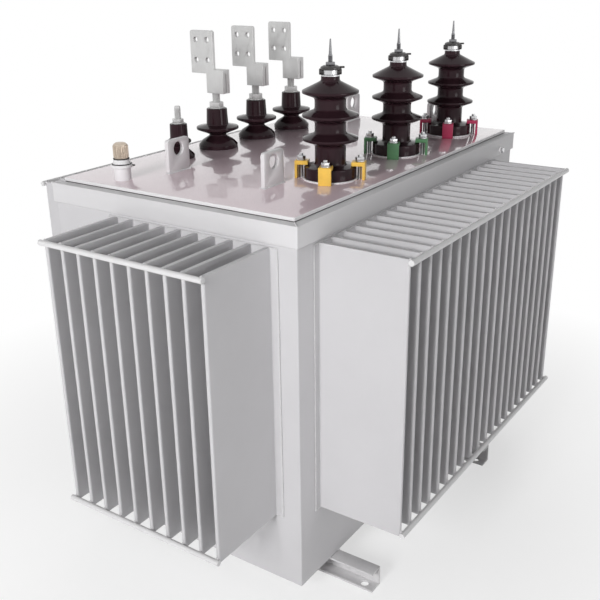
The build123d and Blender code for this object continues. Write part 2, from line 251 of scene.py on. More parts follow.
STUD_STEEL = Finish(
    "stud_steel", Slot.STEEL, (0.26, 0.26, 0.27), 0.42, metallic=1.0, mottle=0.1, cloud_scale=60.0,
    gloss_spread=0.1,
)
TIN = Finish(
    "satin_tin", Slot.TIN, (0.62, 0.62, 0.616), 0.46, metallic=0.6, mottle=0.05, cloud_scale=18.0,
    grain_scale=500.0, stretch=(1.0, 1.0, 0.08), gloss_spread=0.12,
)
BRASS = Finish(
    "dull_brass", Slot.BRASS, (0.60, 0.51, 0.42), 0.4, metallic=0.85, mottle=0.08, cloud_scale=70.0
)


class Phase(Enum):
    """The three phases, each with the letter in its nodes' names and the paint of its claws."""

    A = ("a", YELLOW)
    B = ("b", GREEN)
    C = ("c", RED)

    def __init__(self, letter: str, paint: Finish) -> None:
        """Keep the letter and the paint."""
        self.letter, self.paint = letter, paint


class Side(Enum):
    """The tank's four sides: word in the nodes' names, turn from the front, and way of the row of fins."""

    FRONT = ("front", 0.0, (1, 0, 0))
    BACK = ("back", 180.0, (1, 0, 0))
    LEFT = ("left", -90.0, (0, 1, 0))
    RIGHT = ("right", 90.0, (0, 1, 0))

    def __init__(self, word: str, turn_deg: float, along: tuple[int, int, int]) -> None:
        """Keep the word, the turn in radians and the way as a vector."""
        self.word, self.turn, self.along = word, math.radians(turn_deg), Vector(along)

    def outward(self, distance: float) -> Vector:
        """Return a step of that length away from the tank on this side."""
        return Matrix.Rotation(self.turn, 3, "Z") @ Vector((0, -distance, 0))


@dataclass(frozen=True)
class Corner:
    """A corner of an outline, with its rounding, in millimetres."""

    across: float
    up: float
    rounding: float = 0.0

    @property
    def spot(self) -> Vector:
        """Return the corner's place as a vector."""
        return Vector((self.across, self.up))


def rounded(corners: Sequence[Corner], closed: bool = False) -> list[Point]:
    """Turn corners into outline points, with each rounding as a short curve.

    Args:
        corners: the corners in order.
        closed: whether the last corner joins the first.

    Returns:
        Points in metres.
    """
    points: list[Point] = []
    last = len(corners) - 1
    for i, corner in enumerate(corners):
        here = corner.spot
        if not corner.rounding or (not closed and i in (0, last)):
            points.append(tuple(here * MM))
            continue
        arms = [c.spot - here for c in (corners[i - 1], corners[(i + 1) % len(corners)])]
        tangent = corner.rounding / math.tan(arms[0].angle(arms[1]) / 2)
        start, end = (here + arm.normalized() * min(tangent, ROUNDING_REACH * arm.length) for arm in arms)
        for step in range(ROUNDING_STEPS + 1):
            t = step / ROUNDING_STEPS
            bent = start * (1 - t) ** 2 + here * (2 * t * (1 - t)) + end * t**2
            points.append(tuple(bent * MM))
    return points


def band(outer: float, low: float, high: float, rounding: float, inner: float = 0.0) -> list[Corner]:
    """List the corners of a ring's section, or of a disc's where there is no inner radius."""
    edges = [Corner(outer, low, rounding), Corner(outer, high, rounding)]
    return [Corner(inner, low), *edges, Corner(inner, high), Corner(inner, low)]


@dataclass(frozen=True)
class Thread:
    """A screw thread, in millimetres."""

    radius: float
    pitch: float = 1.5
    depth: float = 0.7

    def corners(self, bottom: float, top: float) -> list[Corner]:
        """List the corners of the thread's outline, crest and root in turn.

        Args:
            bottom: the level of its first crest.
            top: the level where it ends.

        Returns:
            The corners, from the bottom up.
        """
        root = self.radius - self.depth
        corners = []
        for i in range(int((top - bottom) / self.pitch)):
            level = bottom + i * self.pitch
            corners += [Corner(self.radius, level), Corner(root, level + self.pitch / 2)]
        return corners + [Corner(root, top)]


def circle(radius: float, segments: int) -> list[Point]:
    """Return the points of a circle."""
    angles = (math.tau * k / segments for k in range(segments))
    return [(radius * math.cos(angle), radius * math.sin(angle)) for angle in angles]


def neighbours(count: int) -> list[Pair]:
    """Return each place in a ring of that many with the place after it."""
    return [(k, (k + 1) % count) for k in range(count)]


def above(foot: Vector, height: float) -> Matrix:
    """Return the place that many millimetres above a foot point."""
    return Matrix.Translation(foot + Vector((0, 0, height * MM)))


class Form:
    """A mesh in the making, in metres."""

    def __init__(self) -> None:
        """Start with an empty mesh."""
        self.bm = bmesh.new()

    def lathe(self, corners: Sequence[Corner], foot: Vector = ORIGIN, segments: int = 64) -> None:
        """Turn an outline round the upright through a foot point.

        Args:
            corners: the outline, from axis to axis or back to its first corner.
            foot: the point that the outline's levels are measured from.
            segments: how many sides the round has.
        """
        outline = rounded(corners)
        closed = outline[0] == outline[-1]
        rings = []
        for radius, level in outline[:-1] if closed else outline:
            spots = circle(radius, segments if radius > 0 else 1)
            rings.append([self.bm.verts.new(foot + Vector((x, y, level))) for x, y in spots])
        for lower, upper in pairwise(rings + rings[:1] if closed else rings):
            for k, n in neighbours(segments):
                below, over = ((ring[k % len(ring)], ring[n % len(ring)]) for ring in (lower, upper))
                face = list(dict.fromkeys((*below, *reversed(over))))
                if len(face) > 2:
                    self.bm.faces.new(face)

    def prism(self, points: Sequence[Point], place: Matrix, height: float, edge: float) -> None:
        """Stand a prism on an outline.

        Args:
            points: the outline in the plane.
            place: where the outline's plane lies.
            height: the prism's height.
            edge: how far the two end outlines are bevelled.
        """
        rings = [[self.bm.verts.new(place @ Vector((x, y, z))) for x, y in points] for z in (0.0, height)]
        caps = [self.bm.faces.new(ring) for ring in rings]
        for k, n in neighbours(len(points)):
            self.bm.faces.new([rings[0][k], rings[0][n], rings[1][n], rings[1][k]])
        self.bevel([side for cap in caps for side in cap.edges], edge)

    def hexagon(self, place: Matrix, across_flats: float, height: float, edge: float) -> None:
        """Stand a hexagon nut or bolt head of those sizes, in millimetres, at a place."""
        self.prism(circle(across_flats * MM / math.sqrt(3), 6), place, height * MM, edge * MM)

    def box(self, low: Vector, high: Vector, edge: float) -> None:
        """Add a box with bevelled edges.

        Args:
            low: its lowest corner.
            high: its highest corner.
            edge: the bevel of its edges.
        """
        made = bmesh.ops.create_cube(self.bm, size=1.0)["verts"]
        size, middle = high - low, (low + high) / 2
        for vert in made:
            vert.co = middle + Vector(c * s for c, s in zip(vert.co, size))
        self.bevel(list(dict.fromkeys(side for vert in made for side in vert.link_edges)), edge, segments=3)

    def surround(self, outline: Sequence[Point], reach: Vector, edge: float) -> None:
        """Run a closed outline round a rectangle, mitred at its corners.

        Args:
            outline: points as the distance outside the rectangle and the level.
            reach: half the rectangle's length and width.
            edge: the bevel of the edges.
        """
        loops = [
            [self.bm.verts.new((sx * (reach.x + out), sy * (reach.y + out), up)) for out, up in outline]
            for sx, sy in RECTANGLE_WAYS
        ]
        for i, j in neighbours(len(loops)):
            for k, n in neighbours(len(outline)):
                self.bm.faces.new([loops[i][k], loops[j][k], loops[j][n], loops[i][n]])
        self.bm.normal_update()
        bmesh.ops.recalc_face_normals(self.bm, faces=self.bm.faces)
        self.bevel(self.sharp_edges(), edge)

    def copy_of(self, node: str, edge: float) -> None:
        """Add a copy of a CAD node, merged into whole faces and with softened edges.

        Args:
            node: the CAD node to copy.
            edge: the bevel of its edges.
        """
        self.bm.from_mesh(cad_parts[node].data)
        bmesh.ops.remove_doubles(self.bm, verts=self.bm.verts, dist=WELD_DISTANCE)
        bmesh.ops.dissolve_limit(
            self.bm, angle_limit=FLAT_ANGLE, verts=self.bm.verts, edges=self.bm.edges,
            use_dissolve_boundaries=False,
        )
        self.bevel(self.sharp_edges(), edge)

    def sharp_edges(self) -> list[bmesh.types.BMEdge]:
        """Return the edges that are sharp enough to soften."""
        return [e for e in self.bm.edges if e.is_manifold and e.calc_face_angle() > BEVEL_ANGLE]

    def bevel(self, edges: Sequence[bmesh.types.BMEdge], width: float, segments: int = 2) -> None:
        """Bevel edges by that width, in that many steps."""
        bmesh.ops.bevel(self.bm, geom=edges, offset=width, segments=segments, profile=0.5, affect="EDGES")

    def mesh(self, name: str) -> Mesh:
        """Close the form and return it as a mesh with outward, smooth faces."""
        bmesh.ops.recalc_face_normals(self.bm, faces=self.bm.faces)
        mesh = bpy.data.meshes.new(name)
        self.bm.to_mesh(mesh)
        self.bm.free()
        return smoothed(mesh)

    def show(self, name: str, finish: Finish, *stands_for: str) -> Piece:
        """Close the form and return it as a piece in the place of those CAD nodes."""
        return show(name, self.mesh(name), finish, *stands_for)


def smoothed(mesh: Mesh) -> Mesh:
    """Shade a mesh smooth, except over its sharp edges, and return it."""
    mesh.polygons.foreach_set("use_smooth", [True] * len(mesh.polygons))
    mesh.set_sharp_from_angle(angle=SHARP_ANGLE)
    return mesh


def show(name: str, mesh: Mesh, finish: Finish, *stands_for: str) -> Piece:
    """Put a finished mesh in the scene as a piece that rides on the transformer.

    Args:
        name: the piece's name.
        mesh: its mesh, in the shared frame.
        finish: its finish.
        stands_for: the CAD nodes that it replaces.

    Returns:
        The piece.
    """
    mesh.materials.clear()
    mesh.materials.append(material_of(finish))
    piece = bpy.data.objects.new(name, mesh)
    bpy.context.scene.collection.objects.link(piece)
    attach(piece, BODY)
    if stands_for:
        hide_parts(*stands_for)
    LOG.info("%s: %d faces, %s", name, len(mesh.polygons), finish.name)
    return piece


def paint(node: str, finish: Finish) -> None:
    """Give a CAD node that keeps its own shape a finish."""
    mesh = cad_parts[node].data
    mesh.materials.clear()
    mesh.materials.append(material_of(finish))
    LOG.info("%s: CAD node, %s", node, finish.name)


def soften(node: str, name: str, finish: Finish, edge: float) -> None:
    """Show a CAD node as a piece of the same shape with edges softened by that many millimetres."""
    form = Form()
    form.copy_of(node, edge * MM)
    form.show(name, finish, node)


@dataclass(frozen=True)
class Fit:
    """A corner to fit to a CAD node: an inset from its radius, and a share of its height with a rise."""

    inset: float
    share: float
    rise: float = 0.0
    rounding: float = 0.0


@dataclass(frozen=True)
class Seat:
    """Where a round CAD node stands: its foot's middle, and its height and radius in millimetres."""

    foot: Vector
    height: float
    radius: float

    @classmethod
    def of(cls, node: str) -> Self:
        """Read a node's seat from its box."""
        low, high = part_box(node)
        foot = Vector(((low.x + high.x) / 2, (low.y + high.y) / 2, low.z))
        return cls(foot, (high.z - low.z) / MM, (high.x - low.x) / 2 / MM)

    def fit(self, corners: Sequence[Fit]) -> list[Corner]:
        """Return corners fitted to this node, from axis to axis."""
        fitted = [Corner(self.radius - c.inset, self.height * c.share + c.rise, c.rounding) for c in corners]
        return [Corner(0, fitted[0].up), *fitted, Corner(0, fitted[-1].up)]


def turned(
    name: str, finish: Finish, corners: Sequence[Corner], foot: Vector, *stands_for: str, segments: int = 64
) -> None:
    """Turn an outline round the upright and show it as a piece.

    Args:
        name: the piece's name.
        finish: its finish.
        corners: the outline.
        foot: the point that the outline's levels are measured from.
        stands_for: the CAD nodes that the piece replaces.
        segments: how many sides the round has.
    """
    form = Form()
    form.lathe(corners, foot, segments)
    form.show(name, finish, *stands_for)


class Pattern:
    """A Geometry Nodes tree that repeats a template, with its sizes as named inputs."""

    def __init__(self, name: str, **sizes: str) -> None:
        """Start a tree that takes a mesh and a template.

        Args:
            name: the tree's name.
            sizes: the socket kind of each further input.
        """
        self.tree = bpy.data.node_groups.new(name, "GeometryNodeTree")
        self.keys = {}
        sockets = {"Base": "Geometry", "Template": "Object", **sizes, "Seed": "Int", "Material": "Material"}
        for label, kind in sockets.items():
            socket = self.tree.interface.new_socket(label, in_out="INPUT", socket_type=f"NodeSocket{kind}")
            self.keys[label] = socket.identifier
        self.tree.interface.new_socket("Geometry", in_out="OUTPUT", socket_type="NodeSocketGeometry")
        self.graph = Graph(self.tree)
        self.given = self.graph.node("NodeGroupInput").outputs
        self.template = self.graph.out(
            "GeometryNodeObjectInfo", {"Object": self.given["Template"]}, pick="Geometry"
        )

    def random(self, low: Any, high: Any) -> Socket:
        """Return a random value for each copy, between two values or sockets."""
        limits = {2: low, 3: high, "Seed": self.given["Seed"]}
        return self.graph.out("FunctionNodeRandomValue", limits, pick=1, data_type="FLOAT")

    def near(self, middle: Any, spread: Any) -> Socket:
        """Return a random value for each copy, at most that spread from the middle."""
        return self.random(*(self.graph.combine(way, middle, spread) for way in ("SUBTRACT", "ADD")))

    def close(self, points: Socket, angle: Socket, spread: Any = 0.0, keep_base: bool = False) -> None:
        """End the tree: copies on the points, realized, with their material set.

        Args:
            points: where the copies go.
            angle: how far each copy is turned about the upright.
            spread: how far the copies' sizes differ, as a share.
            keep_base: whether the mesh that came in stays beside the copies.
        """
        euler = self.graph.out("ShaderNodeCombineXYZ", {"Z": angle})
        turn = self.graph.out("FunctionNodeEulerToRotation", {0: euler})
        copies = self.graph.out(
            "GeometryNodeInstanceOnPoints",
            {"Points": points, "Instance": self.template, "Rotation": turn, "Scale": self.near(1.0, spread)},
        )
        whole = self.graph.out("GeometryNodeRealizeInstances", {0: copies})
        if keep_base:
            joined = self.graph.node("GeometryNodeJoinGeometry")
            for part in (whole, self.given["Base"]):
                self.tree.links.new(part, joined.inputs[0])
            whole = joined.outputs[0]
        painted = self.graph.out(
            "GeometryNodeSetMaterial", {"Geometry": whole, "Material": self.given["Material"]}
        )
        self.graph.node("NodeGroupOutput", {0: painted})

    def grow(
        self, name: str, finish: Finish, template: Mesh, base: Mesh | None = None,
        stands_for: Sequence[str] = (), **inputs: Any,
    ) -> None:
        """Run the tree once and show its result as a plain mesh, with nothing left of the modifier.

        Args:
            name: the piece's name.
            finish: its finish.
            template: the mesh that is repeated.
            base: the mesh that goes in, or none.
            stands_for: the CAD nodes that the piece replaces.
            inputs: a value for each further named input.
        """
        stamp = bpy.data.objects.new(f"{name}_template", template)
        carrier = bpy.data.objects.new(f"{name}_carrier", base or bpy.data.meshes.new(f"{name}_base"))
        for helper in (stamp, carrier):
            bpy.context.scene.collection.objects.link(helper)
        modifier = carrier.modifiers.new("pattern", "NODES")
        modifier.node_group = self.tree
        for label, value in {"Template": stamp, "Material": material_of(finish), **inputs}.items():
            modifier[self.keys[label]] = value
        evaluated = carrier.evaluated_get(bpy.context.evaluated_depsgraph_get())
        mesh = bpy.data.meshes.new_from_object(evaluated)
        mesh.name = name
        for helper in (carrier, stamp):
            bpy.data.objects.remove(helper)
        show(name, smoothed(mesh), finish, *stands_for)


@lru_cache(maxsize=None)
def row_pattern() -> Pattern:
    """Make the tree that sets copies in a straight row, each swayed a little about the upright."""
    pattern = Pattern(
        "row_of_copies", Count="Int", Start="Vector", Step="Vector", Turn="Float", Sway="Float",
        Spread="Float",
    )
    given = pattern.given
    row = {"Count": given["Count"], "Start Location": given["Start"], "Offset": given["Step"]}
    line = pattern.graph.out("GeometryNodeMeshLine", row, mode="OFFSET")
    pattern.close(line, pattern.near(given["Turn"], given["Sway"]), given["Spread"], keep_base=True)
    return pattern


@lru_cache(maxsize=None)
def ring_pattern() -> Pattern:
    """Make the tree that sets copies in a ring, each facing away from its middle."""
    pattern = Pattern("ring_of_copies", Count="Int", Radius="Float", Middle="Vector", Turn="Float")
    given, graph = pattern.given, pattern.graph
    ring = graph.out("GeometryNodeMeshCircle", {"Vertices": given["Count"], "Radius": given["Radius"]})
    whole_turn = graph.out("ShaderNodeCombineXYZ", {"Z": given["Turn"]})
    placed = graph.out(
        "GeometryNodeTransform", {"Geometry": ring, "Translation": given["Middle"], "Rotation": whole_turn}
    )
    share = graph.combine("DIVIDE", math.tau, given["Count"])
    index = graph.out("GeometryNodeInputIndex")
    pattern.close(placed, graph.combine("MULTIPLY_ADD", index, share, given["Turn"]))
    return pattern


@lru_cache(maxsize=None)
def bead_pattern() -> Pattern:
    """Make the tree that lays uneven weld dabs along the edges of the mesh that comes in."""
    pattern = Pattern("weld_bead", Pitch="Float", Spread="Float")
    given, graph = pattern.given, pattern.graph
    path = graph.out("GeometryNodeMeshToCurve", {0: given["Base"]})
    dabs = graph.out("GeometryNodeResampleCurve", {"Curve": path, "Length": given["Pitch"]}, mode="LENGTH")
    pattern.close(dabs, pattern.random(0.0, math.tau), given["Spread"])
    return pattern


@dataclass(frozen=True)
class WeldBead:
    """A painted weld, as a run of small overlapping dabs."""

    radius: float = 2.6
    pitch: float = 3.4
    spread: float = 0.22

    def dab(self, squash: float = 1.0) -> Mesh:
        """Return one dab of weld metal, flattened by that share, and finer if it is flattened."""
        form = Form()
        bmesh.ops.create_icosphere(form.bm, subdivisions=2 if squash < 1 else 1, radius=self.radius * MM)
        bmesh.ops.scale(form.bm, verts=form.bm.verts, vec=(1.0, 1.0, squash))
        return form.mesh("weld_dab")

    def lay(self, name: str, runs: Sequence[Sequence[Vector]], seed: int) -> None:
        """Lay a bead along each run of points.

        Args:
            name: the piece's name.
            runs: lists of points; a run whose ends meet is closed.
            seed: the seed of the dabs' sizes.
        """
        points: list[Vector] = []
        edges: list[Pair] = []
        for run in runs:
            edges += pairwise(range(len(points), len(points) + len(run)))
            points += run
        path = bpy.data.meshes.new(f"{name}_path")
        path.from_pydata(points, edges, [])
        bead_pattern().grow(
            name, WELD_PAINT, self.dab(), path, Pitch=self.pitch * MM, Spread=self.spread, Seed=seed
        )


def rectangle(low: Vector, high: Vector, level: float) -> list[Vector]:
    """Return the closed run round a level rectangle."""
    corners = ((low.x, low.y), (high.x, low.y), (high.x, high.y), (low.x, high.y), (low.x, low.y))
    return [Vector((x, y, level)) for x, y in corners]


@dataclass(frozen=True)
class Tank:
    """The welded tank, its rim and its lid."""

    shell_edge: float = 3.0
    rim_edge: float = 1.6
    rim_ledge_thickness: float = 6.0
    lid_edge: float = 1.6
    lid_top_tilt: float = 0.9
    # The dark strip under the lid, a painted shadow line: its height, how far it reaches up into the plate,
    # and its bevel.
    shadow_strip: float = 2.0
    shadow_strip_bite: float = 2.0
    shadow_strip_edge: float = 0.5
    rim_bead: WeldBead = WeldBead()
    mitre_bead: WeldBead = WeldBead(radius=1.7, pitch=2.4)

    def build(self) -> None:
        """Make the shell, the rim, the lid and the welds between them."""
        self.shell()
        self.rim()
        self.lid()
        self.welds()

    def shell(self) -> None:
        """Make the closed tank with soft corners."""
        low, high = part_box("tank_floor")
        _, wall_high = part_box("front_wall")
        form = Form()
        form.box(low, Vector((high.x, high.y, wall_high.z)), self.shell_edge * MM)
        walls = (f"{side.word}_wall" for side in Side)
        form.show("tank_shell", TANK_PAINT, "tank_floor", *walls, "tank_filling")

    def rim(self) -> None:
        """Run the rim angle round the top of the tank, mitred at the corners."""
        low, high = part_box("long_rims")
        _, tank_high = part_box("tank_floor")
        ledge_low = high.z - self.rim_ledge_thickness * MM
        ledge_width = high.y - min(abs(v.co.y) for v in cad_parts["long_rims"].data.vertices)
        skirt = high.x - tank_high.x
        inner = ledge_width - skirt
        outline = [
            (skirt, high.z), (skirt, low.z), (0.0, low.z), (0.0, ledge_low), (-inner, ledge_low),
            (-inner, high.z),
        ]
        form = Form()
        form.surround(outline, tank_high, self.rim_edge * MM)
        # The rim takes the lighter copy of the tank paint, painted light.
        form.show("rim_angle", RIM_PAINTED_LIGHTER, "long_rims", "short_rims")

    def lid(self) -> None:
        """Make the glossy lid, its top in a mauve painted reflection and its sides in a lighter grey painted
        light, over a dark strip set in from its edge as a painted shadow line.
        """
        low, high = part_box("lid")
        shadow_strip = self.shadow_strip * MM
        plate, dark_band = Form(), Form()
        plate.box(low + Vector((0, 0, shadow_strip)), high, self.lid_edge * MM)
        piece = plate.show("lid_plate", LID_PAINTED_REFLECTION, "lid")
        # The sides and underside take the lighter grey, painted light for lit faces; the top keeps the mauve
        # painted reflection.
        piece.data.materials.append(material_of(PALE_GREY_AND_PAINTED_LIGHT))
        for face in piece.data.polygons:
            face.material_index = 0 if face.normal.z > self.lid_top_tilt else 1
        # A dark strip in the groove under the plate: a painted shadow line where the lid meets the rim's
        # ledge.
        inset = Vector((shadow_strip, shadow_strip, 0))
        strip_high = Vector((high.x, high.y, low.z + shadow_strip + self.shadow_strip_bite * MM))
        dark_band.box(low + inset, strip_high - inset, self.shadow_strip_edge * MM)
        dark_band.show("lid_gasket", DARK_SEAL_AND_SHADOW)

    def welds(self) -> None:
        """Lay the beads under the rim and across its mitres."""
        rim_low, rim_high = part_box("long_rims")
        tank_low, tank_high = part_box("tank_floor")
        _, lid_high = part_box("lid")
        self.rim_bead.lay("rim_weld", [rectangle(tank_low, tank_high, rim_low.z)], seed=1)
        mitres = [
            [Vector((sx * reach.x, sy * reach.y, rim_high.z)) for reach in (lid_high, rim_high)]
            for sx, sy in product((-1, 1), repeat=2)
        ]
        self.mitre_bead.lay("mitre_welds", mitres, seed=3)


@dataclass(frozen=True)
class EarthStuds:
    """The earthing bosses on the long faces of the rim, at opposite ends."""

    along: float = 443.0
    below_rim_top: float = 31.0
    boss_radius: float = 9.0
    boss_height: float = 5.0
    boss_segments: int = 32
    head_flats: float = 13.0
    head_height: float = 6.0
    edge: float = 0.8

    def build(self) -> None:
        """Make the bosses and the bolt heads on them."""
        _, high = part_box("long_rims")
        boss, head = Form(), Form()
        spot = Vector((self.along * MM, -high.y, high.z - self.below_rim_top * MM))
        front = Matrix.Translation(spot) @ Matrix.Rotation(math.pi / 2, 4, "X")
        outline = circle(self.boss_radius * MM, self.boss_segments)
        for turn in (0.0, math.pi):
            facing = Matrix.Rotation(turn, 4, "Z") @ front
            boss.prism(outline, facing, self.boss_height * MM, self.edge * MM)
            on_boss = facing @ above(ORIGIN, self.boss_height)
            head.hexagon(on_boss, self.head_flats, self.head_height, self.edge)
        boss.show("earth_bosses", PALE_GREY_AND_PAINTED_LIGHT)
        head.show("earth_bolts", ZINC)


@dataclass
class FinPanel:
    """One corrugated panel: a sheet pressed into hollow fins with rounded noses."""

    side: Side
    pitch: float = 45.0
    thickness: float = 9.0
    sheet: float = 1.5
    sheet_edge: float = 0.375
    margin: float = 18.0
    root_flare: float = 5.0
    sink: float = 0.3
    end_edge: float = 0.5
    sway_deg: float = 0.12
    panel_bead: WeldBead = WeldBead(radius=1.9, pitch=3.0)
    rod_bead: WeldBead = WeldBead(radius=3.4, spread=0.2)
    dab_squash: float = 0.7
    dab_lift: float = 0.8

    def __post_init__(self) -> None:
        """Measure the CAD node that the panel replaces."""
        low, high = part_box(f"{self.side.word}_fins")
        size, along = high - low, self.side.along
        self.length, self.depth = size.dot(along), size.dot(Vector((1, 1, 0)) - along)
        self.rise = Vector((0, 0, size.z))
        self.count = round((self.length / MM - 2 * self.margin - self.thickness) / self.pitch) + 1
        root_x = high.x if self.side is Side.LEFT else low.x
        root_y = high.y if self.side is Side.FRONT else low.y
        self.root = Vector((root_x, root_y, low.z))
        self.first = self.root + along * (self.margin + self.thickness / 2) * MM
        self.step = along * self.pitch * MM

    def build(self) -> None:
        """Make the panel with the weld round it, and the dabs on its rods."""
        self.panel()
        self.rods()

    def fin(self) -> Mesh:
        """Return one fin that points to the front from the origin, with flared roots sunk in the sheet."""
        half, foot, flare = self.thickness / 2, self.sheet - self.sink, self.root_flare
        right = [
            Corner(half, -self.depth / MM, half), Corner(half, -foot, flare), Corner(half + flare, -foot),
            Corner(half + flare, 0),
        ]
        left = [Corner(-c.across, c.up, c.rounding) for c in reversed(right)]
        form = Form()
        outline = rounded(left + right, closed=True)
        form.prism(outline, Matrix.Identity(4), self.rise.z, self.end_edge * MM)
        return form.mesh("fin")

    def panel(self) -> None:
        """Set the fins in a row on their sheet, and weld the sheet to the tank."""
        name = f"{self.side.word}_fin_panel"
        start = self.root + self.side.outward(self.sheet * MM)
        end = start + self.side.along * self.length
        ends = (self.root, end + self.rise)
        sheet = Form()
        sheet.box(Vector(map(min, *ends)), Vector(map(max, *ends)), self.sheet_edge * MM)
        row_pattern().grow(
            name, TANK_PAINT, self.fin(), sheet.mesh(f"{name}_sheet"), (f"{self.side.word}_fins",),
            Count=self.count, Start=self.first, Step=self.step, Turn=self.side.turn,
            Sway=math.radians(self.sway_deg), Spread=0.0, Seed=11,
        )
        run = [start, end, end + self.rise, start + self.rise, start]
        self.panel_bead.lay(f"{self.side.word}_panel_weld", [run], seed=21)

    def rods(self) -> None:
        """Paint the two rods and weld them to every nose."""
        node = f"{self.side.word}_rods"
        # The rods take the lighter copy of the tank paint, painted light.
        paint(node, ROD_PAINTED_LIGHT)
        low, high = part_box(node)
        nose = self.first + self.side.outward(self.depth)
        radius = min(high - low) / 2
        dab = self.rod_bead.dab(self.dab_squash)
        for word, level in (("lower", low.z + radius), ("upper", high.z - radius)):
            for place, lift in (("over", radius * self.dab_lift), ("under", -radius * self.dab_lift)):
                row_pattern().grow(
                    f"{self.side.word}_{word}_rod_dabs_{place}", WELD_PAINT, dab, Count=self.count,
                    Start=Vector((nose.x, nose.y, level + lift)), Step=self.step, Turn=0.0, Sway=math.pi,
                    Spread=self.rod_bead.spread, Seed=31,
                )


def sideways(heading_deg: float) -> Matrix:
    """Return the turn that lays an upright thing down, facing a compass heading."""
    return Matrix.Rotation(math.radians(heading_deg), 4, "Z") @ Matrix.Rotation(math.pi / 2, 4, "Y")


@dataclass(frozen=True)
class ClawBolts:
    """The bolts that hold a high-voltage bushing's claws, each with a washer and a nut."""

    count: int = 4
    ring_radius: float = 65.0
    heading_deg: float = 23.0
    thread: Thread = Thread(5.0)
    thread_start: float = 2.0
    thread_stop: float = 1.0
    bolt_end: float = 6.0
    bolt_segments: int = 20
    washer_radius: float = 10.5
    washer_height: float = 2.0
    washer_round: float = 0.5
    washer_segments: int = 32
    nut_flats: float = 17.0
    nut_height: float = 8.0
    nut_edge: float = 0.9

    def build(self, phase: Phase, foot: Vector) -> None:
        """Stand a bolt in each claw.

        Args:
            phase: the bushing's phase.
            foot: the middle of the bushing's underside.
        """
        _, claw_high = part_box(f"hv_clamps_{phase.letter}")
        claw_top = (claw_high.z - foot.z) / MM
        nut_low = claw_top + self.washer_height
        end = nut_low + self.nut_height + self.bolt_end
        radius = self.thread.radius
        threaded = self.thread.corners(self.thread_start, end - self.thread_stop)
        washer = band(self.washer_radius, claw_top, nut_low, self.washer_round, radius)
        form = Form()
        form.lathe([Corner(0, 0), Corner(radius, 0), *threaded, Corner(0, end)], segments=self.bolt_segments)
        form.lathe(washer, segments=self.washer_segments)
        form.hexagon(above(ORIGIN, nut_low), self.nut_flats, self.nut_height, self.nut_edge)
        ring_pattern().grow(
            f"hv_claw_bolts_{phase.letter}", ZINC, form.mesh("claw_bolt"), Count=self.count,
            Radius=self.ring_radius * MM, Middle=foot, Turn=math.radians(self.heading_deg), Seed=0,
        )


@dataclass(frozen=True)
class HighVoltageCap:
    """The cap of a high-voltage bushing: a plated barrel under a dark head with two ears and a pin."""

    barrel: tuple[Fit, ...] = (
        Fit(1.0, 0, 0, 0.8), Fit(1.0, 0, 3.0, 0.8), Fit(5.0, 0, 4.0, 1.0), Fit(5.0, 0.65),
    )
    head: tuple[Fit, ...] = (Fit(0, 0.6, 0, 1.2), Fit(0, 1, -3.0, 2.0), Fit(6.0, 1, 0, 2.0))
    heading_deg: float = -55.6
    ear_share: float = 0.42
    ear_radius: float = 6.5
    ear_inset: float = 9.0
    ear_reach: float = 24.0
    ear_edge: float = 1.2
    pin_radius: float = 2.145
    pin_drop: float = 4.0
    pin_inset: float = 4.0
    pin_length: float = 13.0
    pin_edge: float = 0.5
    round_segments: int = 24

    def build(self, phase: Phase) -> None:
        """Make the barrel, and the head with its ears and its pin."""
        node = f"hv_cap_{phase.letter}"
        seat = Seat.of(node)
        tall, wide, foot = seat.height, seat.radius, seat.foot
        turned(f"hv_cap_barrel_{phase.letter}", ZINC, seat.fit(self.barrel), foot, node)
        head = Form()
        head.lathe(seat.fit(self.head), foot)
        way = sideways(self.heading_deg)
        ear, ear_start = circle(self.ear_radius * MM, self.round_segments), wide - self.ear_inset
        for half_turn in (0.0, math.pi):
            turn = above(foot, tall * self.ear_share) @ Matrix.Rotation(half_turn, 4, "Z")
            place = turn @ way @ above(ORIGIN, ear_start)
            head.prism(ear, place, (self.ear_reach - ear_start) * MM, self.ear_edge * MM)
        pin = circle(self.pin_radius * MM, self.round_segments)
        place = above(foot, tall - self.pin_drop) @ way @ above(ORIGIN, wide - self.pin_inset)
        head.prism(pin, place, self.pin_length * MM, self.pin_edge * MM)
        head.show(f"hv_cap_head_{phase.letter}", ENAMEL)


@dataclass(frozen=True)
class HighVoltagePoint:
    """The stud on top of a high-voltage bushing: a thread with a nut, and a point above it."""

    thread: Thread = Thread(5.0)
    thread_start: float = 1.0
    thread_share: float = 0.4
    spike: Corner = Corner(3.5, 1.0, 0.5)
    tip: Corner = Corner(1.6, -1.0, 0.5)
    end: Corner = Corner(0.8, 0.0, 0.3)
    segments: int = 28
    nut_flats: float = 17.0
    nut_height: float = 7.0
    nut_edge: float = 0.9

    def build(self, phase: Phase, axis: Vector) -> None:
        """Make the stud where its CAD node stands.

        Args:
            phase: the bushing's phase.
            axis: a point on the bushing's axis.
        """
        node = f"hv_terminal_{phase.letter}"
        seat = Seat.of(node)
        foot = Vector((axis.x, axis.y, seat.foot.z))
        tall, thread_end = seat.height, seat.height * self.thread_share
        raised = ((self.spike, thread_end), (self.tip, tall), (self.end, tall))
        form = Form()
        form.lathe(
            [
                Corner(0, 0),
                Corner(self.thread.radius, 0),
                *self.thread.corners(self.thread_start, thread_end),
                *(Corner(c.across, level + c.up, c.rounding) for c, level in raised),
                Corner(0, tall),
            ],
            foot, self.segments,
        )
        form.hexagon(above(foot, 0), self.nut_flats, self.nut_height, self.nut_edge)
        form.show(f"hv_point_{phase.letter}", STUD_STEEL, node)


